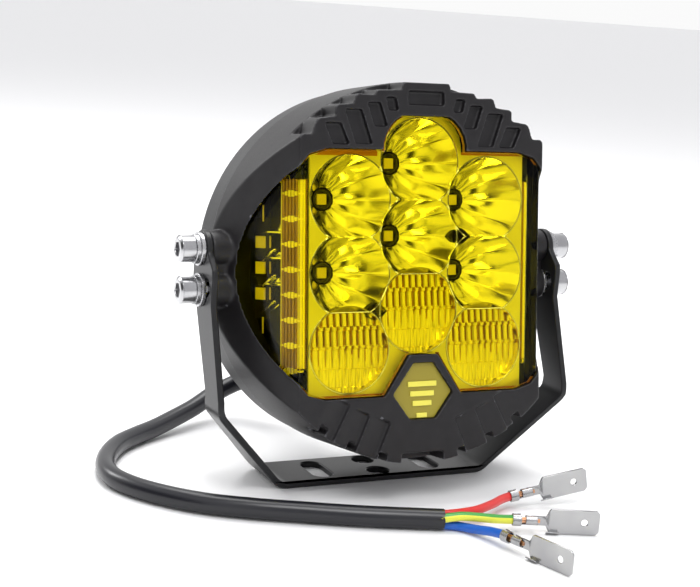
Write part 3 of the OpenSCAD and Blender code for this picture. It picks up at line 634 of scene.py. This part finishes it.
def make_plate():
    """The bright plate between the bowls, with dark cups behind its two small openings as painted shade for
    the hollow there.
    """
    shade_cups = []
    # painted shade: dark cups behind the openings, where the hollow lies in shadow
    for x, y in EYES:
        shade_cups.append(plate(eye(x, y, 0.3), [], RIM - 3.2, RIM - 2.4))
        shade_cups.append(plate(eye(x, y, 0.3), [eye(x, y)], RIM - 2.6, RIM - 0.9))
    v, f = joined(shade_cups)
    piece("plate_openings", v, f, DARK)
    half, top = 44.6, 44.4
    hump = [(17.6, top), (17.4, 47.5), (16.7, 50.6), (14.8, 53.8), (12.1, 56.5), (9.4, 57.8)]
    outline = ([(-half, -half), (half, -half), (half, top)] + hump
               + [(-x, y) for x, y in reversed(hump)] + [(-half, top)])
    holes = [ring_points(x, y, BOWL_R, 96) for x, y in SPOTS + FLOODS] + [eye(x, y) for x, y in EYES]
    v, f = plate(outline, holes, RIM - 1.4, RIM - 0.1)
    piece("reflector_plate", v, f, WEB, stands_for=("spot_reflector",))


def make_sills():
    """Amber lines along the plate's upper and lower edges, where the window's edge tints it."""
    low, high = RIM - 0.1, RIM + 0.06
    sills = [block(-44.4, -17.6, 42.8, 44.8, low, high), block(17.6, 44.4, 43.7, 44.8, low, high),
             block(-44.4, 44.4, -45, -44.2, low, high)]
    v, f = joined(sills)
    piece("sill_band", v, f, EDGE)


def make_rims():
    """A thin bead round each bowl and flood optic."""
    beads = []
    for c in SPOTS + FLOODS:
        path = []
        for j in range(120):
            a = 2 * math.pi * j / 120
            r = reach_of(c, a)
            path.append(Vector((c[0] + r * math.cos(a), c[1] + r * math.sin(a),
                                bowl_height(r) if c in SPOTS else RIM)))
        beads.append(swept(path, 0.32, 6, closed=True))
    v, f = joined(beads)
    piece("bowl_rims", v, f, MIRROR, sharp=60)


def make_chips():
    """An LED chip in each optic, and a dark ring round those of the spots."""
    chips, rings = [], []
    collar = turned([(2.9, 6.9), (2.9, 8.3), (3.2, 8.6), (3.8, 8.7), (3.8, 6.9)], 40)
    disc = turned([(0, 6.65), (3, 6.65), (3, 6.95), (0, 6.95)], 32, False)
    for x, y in SPOTS:
        chips.append(block(x - 2, x + 2, y - 2, y + 2, 6.6, FLOOR_H + 0.1))
        rings += [moved(part, Matrix.Translation((x, y, 0))) for part in (collar, disc)]
    for x, y in FLOODS:
        chips.append(block(x - 1.9, x + 1.9, y - 1.9, y + 1.9, 6.6, 7.4))
    v, f = joined(chips)
    piece("spot_chips", v, f, CHIP, bevel=0.15, stands_for=("led_chips",))
    v, f = joined(rings)
    piece("throat_rings", v, f, DARK)


v, f = joined([bowl(c) for c in SPOTS])
piece("spot_bowls", v, f, MIRROR, sharp=50)
make_plate()
make_sills()
make_rims()
make_chips()

# A flood optic has three level bands of upright flutes: the upper ends of the lower two, then the
# flutes' shift and height in each band.
FLOOD_R, FLUTE = 15.9, 2.7
BAND_2, BAND_3 = 8.5, 1.5
SHIFTS, HEIGHTS = (0, 1.35, 0.4), (1.9, 2.1, 1.5)


def flute_at(x, y):
    """The band at a point of a flood optic, and how far from the flute's middle it is, 0 to 1."""
    band = 0 if y > BAND_2 else 1 if y > BAND_3 else 2
    return band, abs(2 * (((x + SHIFTS[band]) / FLUTE) % 1.0) - 1)


def flood_face(c):
    """The fluted front of the flood optic at c, cut off where it meets its neighbours."""
    v, f, index, n = [], [], {}, 84
    size = 2 * FLOOD_R / n
    for i in range(n + 1):
        for j in range(n + 1):
            x, y = -FLOOD_R + i * size, -FLOOD_R + j * size
            out = math.hypot(x, y)
            if out > FLOOD_R or out > reach_of(c, math.atan2(y, x)) + 0.3:
                continue
            band, off = flute_at(x, y)
            height = HEIGHTS[band] * (1 if band < 2 else max(0.25, 1 - (BAND_3 - y) / 20))
            z = RIM - 2.9 + height * math.sqrt(max(0, 1 - off ** 2)) - 0.7 * ((y / 7) % 1.0)
            index[(i, j)] = len(v)
            v.append((c[0] + x, c[1] + y, z))
    for i in range(n):
        for j in range(n):
            corners = [(i, j), (i + 1, j), (i + 1, j + 1), (i, j + 1)]
            if all(k in index for k in corners):
                f.append(tuple(index[k] for k in corners))
    return v, f


def make_floods():
    """Three fluted flood optics, with painted shade: darker amber in the valleys between the flutes."""
    back = RIM - 4
    wall = turned([(BOWL_R, RIM), (BOWL_R, back), (BOWL_R - 0.5, back), (BOWL_R - 0.5, RIM)], 72)
    base = turned([(0, back), (BOWL_R, back)], 48, False)
    parts = []
    for c in FLOODS:
        parts.append(flood_face(c))
        parts += [moved(part, Matrix.Translation((*c, 0))) for part in (wall, base)]
    v, f = joined(parts)
    fluted = piece("flood_lenses", v, f, OPTIC, sharp=40, stands_for=("flood_optics",))
    fluted.data.materials.append(DARK_AMBER)
    # painted shade in the valleys between the flutes
    for face in fluted.data.polygons:
        at = lamp_mm(face.center)
        cx, cy = min(FLOODS, key=lambda c: math.hypot(c[0] - at.x, c[1] - at.y))
        y = at.y - cy
        band, off = flute_at(at.x - cx, y)
        if at.z > back and off > (0.7 if band < 2 else 0.8 - (y - BAND_3) / 40):
            face.material_index = 1


make_floods()

# ---------------------------------------------------------------- slanted sides

# In a slanted side's frame: where the light guide's flutes begin, how wide each is, and how deep they lie.
GUIDE_X, RIB, GUIDE_Z = 3.9, 1.52, -6.2


def make_guide(there, word):
    """A light guide of six long flutes, one half of each painted darker as shade, with painted highlights:
    bright marks across and bright lines along it.
    """
    flutes = []
    for k in range(6):
        v = [(GUIDE_X + k * RIB + RIB * m / 8, y, GUIDE_Z - 1.1 + 1.1 * math.sin(math.pi * m / 8))
             for y in (-34, 34) for m in range(9)]
        flutes.append((v, [(m, m + 1, m + 10, m + 9) for m in range(8)]))
    flutes.append(block(3.8, 13.1, -34, 34, GUIDE_Z - 1.6, GUIDE_Z - 1.12))
    v, f = joined(flutes)
    guide = piece("guide_" + word, v, f, DARK_AMBER, there, sharp=50, stands_for=("light_guide_" + word,))
    guide.data.materials.append(GUIDE_SHADE)
    # painted shade on every other half flute
    into = there.inverted()
    for face in guide.data.polygons:
        if int(((into @ (face.center / MM)).x - GUIDE_X) / (RIB / 2)) % 2:
            face.material_index = 1
    marks = []
    # painted highlights: bright marks across the guide and bright lines along it
    for k in range(-4, 4):
        y = 1.6 + k * 9.1
        for m, tall in enumerate((0.35, 0.75, 1.15, 1.15, 0.75, 0.35)):
            x = GUIDE_X + m * RIB
            marks.append(block(x + 0.2, x + 1.32, y - tall, y + tall, GUIDE_Z - 0.6, GUIDE_Z + 0.08))
    for x, wide in ((3.85, 0.5), (4.6, 0.22), (5.1, 0.14), (12.75, 0.3)):
        marks.append(block(x, x + wide, -33.8, 33.8, GUIDE_Z - 0.8, GUIDE_Z + 0.06))
    v, f = joined(marks)
    piece("guide_bars_" + word, v, f, GUIDE_GLINT, there, bevel=0.1)


def make_strip(there, word):
    """The strip board with three LED chips, and the mirror cells between them and the guide."""
    chips, boards, cells = [], [], []
    for y in (11, 1.6, -7.9):
        chips.append(block(24.0, 28.4, y - 2.2, y + 2.2, -10.8, -9.9))
        boards.append(block(23.2, 29.2, y - 3.2, y + 3.2, -11.4, -10.8))
        cells.append(block(13.6, 23.0, y + 3.5, y + 4.2, -12, -8.2))
        wedge = [(x, y + side, z) for side in (-3.4, 3.4)
                 for x, z in ((13.6, -10.8), (22.4, -10.8), (13.6, -7.4))]
        cells.append((wedge, [(0, 1, 2), (3, 5, 4), (0, 3, 4, 1), (1, 4, 5, 2), (2, 5, 3, 0)]))
        for k in (0, 1):
            cells.append(moved(block(-3, 3, -0.25, 0.25, -0.4, 0.4),
                               Matrix.Translation((20.8 + k, y - 4.2 - k * 0.5, -9.2))
                               @ Matrix.Rotation(math.radians(-38), 4, "Z")))
    cells.append(block(13.4, 22.6, -36, 36, -12, -11.4))
    for y in (21.5, -19.5):
        chips.append(block(24.8, 25.3, y - 3, y + 3, -10.8, -10.2))
    boards.append(block(22.8, 29.6, -17, 20, -12, -11.35))
    v, f = joined(chips)
    piece("side_leds_" + word, v, f, CHIP, there, bevel=0.15, stands_for=("side_chips_" + word,))
    v, f = joined(cells)
    piece("side_cells_" + word, v, f, MIRROR, there, bevel=0.12, stands_for=("side_reflector_" + word,))
    v, f = joined(boards)
    piece("side_strip_" + word, v, f, DARK, there, bevel=0.1, stands_for=("side_board_" + word,))


for side, word in ((-1, "left"), (1, "right")):
    make_guide(slope(side), word)
    make_strip(slope(side), word)


def make_badge():
    """The six-sided badge, with three plain bars and a small tab in place of any lettering."""
    hexagon = [(-7.9, -33.1), (7.9, -33.1), (12.4, -44.5), (5.4, -53.9), (-5.4, -53.9), (-12.4, -44.5)]
    v, f = plate(hexagon, [], 36.2, 37.4)
    piece("badge_plate", v, f, BADGE, bevel=0.25, stands_for=("badge_insert",))
    bars = [block(-6 + k, 6 - k, -42 - k * 3.6, -40 - k * 3.6, 37.4, 37.9) for k in range(3)]
    bars.append(block(-2.2, 2.2, -53.6, -51.8, 37.3, 37.8))
    v, f = joined(bars)
    piece("badge_mark", v, f, BADGE_LIT, bevel=0.2)


make_badge()

# ---------------------------------------------------------------- stage and light


def remapped(tree, source, low, high, start=0.0, end=1.0):
    """The source's value, with low..high mapped to start..end."""
    span = tree.nodes.new("ShaderNodeMapRange")
    span.inputs["From Min"].default_value, span.inputs["From Max"].default_value = low, high
    span.inputs["To Min"].default_value, span.inputs["To Max"].default_value = start, end
    tree.links.new(source, span.inputs["Value"])
    return span.outputs["Result"]


def make_world():
    """White behind the lamp, and bright and dark bands in front of it for the polished parts."""
    world = bpy.data.worlds.new("studio")
    bpy.context.scene.world = world
    world.use_nodes = True
    tree = world.node_tree
    where = tree.nodes.new("ShaderNodeTexCoord")
    split = tree.nodes.new("ShaderNodeSeparateXYZ")
    tree.links.new(where.outputs["Generated"], split.inputs["Vector"])
    bands = tree.nodes.new("ShaderNodeValToRGB")
    tree.links.new(remapped(tree, split.outputs["X"], -1.0, 1.0), bands.inputs["Fac"])
    stops = [(0.0, 0.06), (0.08, 0.06), (0.14, 1.0), (0.26, 1.0), (0.31, 0.25), (0.36, 0.25), (0.42, 1.0),
             (0.66, 1.0), (0.69, 0.05), (0.75, 0.05), (0.8, 1.0), (1.0, 1.0)]
    marks = bands.color_ramp.elements
    while len(marks) < len(stops):
        marks.new(0.5)
    for mark, (at, tone) in zip(marks, stops):
        mark.position, mark.color = at, (tone, tone, tone * 1.03, 1)
    # plain behind the lamp and near the horizon, banded elsewhere
    plain = tree.nodes.new("ShaderNodeMath")
    plain.operation = "MAXIMUM"
    tree.links.new(remapped(tree, split.outputs["Y"], 0.25, 0.5), plain.inputs[0])
    tree.links.new(remapped(tree, split.outputs["Z"], 0.0, 0.06, 1.0, 0.0), plain.inputs[1])
    mix = tree.nodes.new("ShaderNodeMix")
    mix.data_type = "RGBA"
    tree.links.new(plain.outputs["Value"], mix.inputs["Factor"])
    tree.links.new(bands.outputs["Color"], mix.inputs["A"])
    mix.inputs["B"].default_value = (0.8, 0.8, 0.8, 1)
    tree.links.new(mix.outputs["Result"], tree.nodes["Background"].inputs["Color"])
    tree.nodes["Background"].inputs["Strength"].default_value = 1.2


def make_stage():
    """A pale floor and three soft lights."""
    bpy.context.scene.view_settings.view_transform = "Standard"
    mesh = bpy.data.meshes.new("floor")
    mesh.from_pydata([(-30, -30, 0), (30, -30, 0), (30, 30, 0), (-30, 30, 0)], [], [(0, 1, 2, 3)])
    floor = bpy.data.objects.new("floor", mesh)
    bpy.context.scene.collection.objects.link(floor)
    mesh.materials.append(shader("floor", (0.88, 0.88, 0.88), 0.6))
    for name, place, aim, size, power in [
            ("key", (-0.25, -0.75, 1.25), (0, 0, 0.05), 0.5, 8),
            ("top", (0.1, 0.35, 1.1), (0, 0, 0.06), 0.8, 10),
            ("rim", (-0.8, 1.0, 0.8), (0, 0, 0.08), 0.4, 6)]:
        data = bpy.data.lights.new(name, "AREA")
        data.energy, data.size = power, size
        light = bpy.data.objects.new(name, data)
        bpy.context.scene.collection.objects.link(light)
        light.location = place
        light.rotation_mode = "QUATERNION"
        light.rotation_quaternion = (Vector(aim) - Vector(place)).to_track_quat("-Z", "Y")


make_world()
make_stage()
